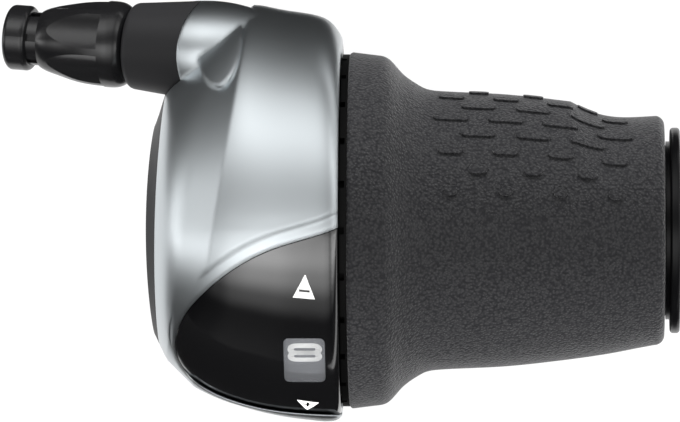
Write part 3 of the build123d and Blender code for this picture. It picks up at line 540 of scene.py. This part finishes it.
for name, side in (("front_fill", 1), ("rear_fill", -1)):
    lamp = bpy.data.lights.new(name, "AREA")
    lamp.shape = "RECTANGLE"
    lamp.size = FILL_LENGTH * MM
    lamp.size_y = FILL_DEPTH * MM
    lamp.energy = FILL_WATTS
    fill = bpy.data.objects.new(name, lamp)
    bpy.context.scene.collection.objects.link(fill)
    aim(fill, np.array([FILL_TARGET[0], side * FILL_AWAY, FILL_HEIGHT]), FILL_TARGET)
    fill.visible_glossy = False

# Black cards: matt card lying on the floor in front and behind, outside the picture. They show
# in reflections only, and darken the edges that would mirror the floor.
CARD_START = 42.0
CARD_RIGHT = 150.0
CARD_LIFT = 1.0
card_black = new_material("matt_black_card", "#050505", 0.9)
for name, side in (("front_card", 1), ("rear_card", -1)):
    card_ends = sorted([side * CARD_START, side * FLOOR_HALF])
    card = add_sheet(
        name, [-FLOOR_HALF, CARD_RIGHT], card_ends, floor_z + CARD_LIFT, card_black
    )
    card.visible_camera = False
    card.visible_diffuse = False
    card.visible_shadow = False

# Light tent: white panels round the part, bright above and to the front, and dim towards the
# floor. Each stop is a place and a strength. Across the bar, places are degrees from straight
# up, positive to the front; along the bar, shares of the way to its right-hand end.
TENT_ACROSS = [
    (-180, 0.1),
    (-100, 0.1),
    (-60, 0.06),
    (-46, 0.5),
    (-30, 1.9),
    (-18, 3.0),
    (-8, 2.6),
    (2, 0.7),
    (12, 0.3),
    (24, 0.65),
    (44, 2.1),
    (62, 1.6),
    (76, 0.45),
    (95, 0.1),
    (180, 0.1),
]
TENT_ALONG = [
    (-1, 2.0),
    (-0.95, 1.4),
    (-0.88, 0.3),
    (-0.75, 0.18),
    (-0.64, 0.5),
    (-0.5, 1.15),
    (-0.36, 1.1),
    (-0.22, 0.8),
    (0, 0.8),
    (0.2, 0.7),
    (0.4, 0.4),
    (0.7, 0.9),
    (1, 0.9),
]
TENT_PEAK = 3.0
world = bpy.data.worlds.new("light_tent")
bpy.context.scene.world = world
world.use_nodes = True
tent = world.node_tree
tent_way = add_node(tent, "ShaderNodeTexCoord", {})
tent_parts = add_node(tent, "ShaderNodeSeparateXYZ", {"Vector": tent_way.outputs["Generated"]})
tent_angle = add_node(
    tent,
    "ShaderNodeMath",
    {0: tent_parts.outputs["Y"], 1: tent_parts.outputs["Z"]},
    operation="ARCTAN2",
)
tent_light = add_node(tent, "ShaderNodeVectorMath", {}, operation="MULTIPLY")
for factor, (value, half_range, stops) in enumerate(
    [
        (tent_angle.outputs["Value"], np.pi, TENT_ACROSS),
        (tent_parts.outputs["X"], 1.0, TENT_ALONG),
    ]
):
    share = add_node(
        tent, "ShaderNodeMath", {0: value, 1: 0.5 / half_range, 2: 0.5}, operation="MULTIPLY_ADD"
    )
    ramp = add_node(tent, "ShaderNodeValToRGB", {"Fac": share.outputs["Value"]})
    ramp.color_ramp.interpolation = "EASE"
    elements = ramp.color_ramp.elements
    for place, _ in stops[1:-1]:
        elements.new(0.5 + place / (2 * stops[-1][0]))
    for element, (_, strength) in zip(elements, stops):
        element.color = (strength / TENT_PEAK,) * 3 + (1,)
    tent.links.new(ramp.outputs["Color"], tent_light.inputs[factor])
tent.links.new(tent_light.outputs["Vector"], tent.nodes["Background"].inputs["Color"])
tent.nodes["Background"].inputs["Strength"].default_value = TENT_PEAK**2

# Camera: a long lens high above the part, with the handlebar's axis across the picture. It
# stands over the grip and looks a little inboard.
PIXEL = 0.15
IMAGE_WIDTH = 680
IMAGE_MIDDLE = np.array([28.55, 2.9, 0.0])
CAMERA_PLACE = np.array([61.25, 2.9, 1400.0])
SENSOR = 36.0
CLIP_END = 10000.0
camera_data = bpy.data.cameras.new("photo_camera")
camera_data.sensor_width = SENSOR
camera_distance = np.linalg.norm(IMAGE_MIDDLE - CAMERA_PLACE)
camera_data.lens = SENSOR * camera_distance / (PIXEL * IMAGE_WIDTH)
camera_data.clip_end = CLIP_END * MM
camera = bpy.data.objects.new("photo_camera", camera_data)
bpy.context.scene.collection.objects.link(camera)
aim(camera, CAMERA_PLACE, IMAGE_MIDDLE)
bpy.context.scene.camera = camera
bpy.context.scene.view_settings.view_transform = "Standard"
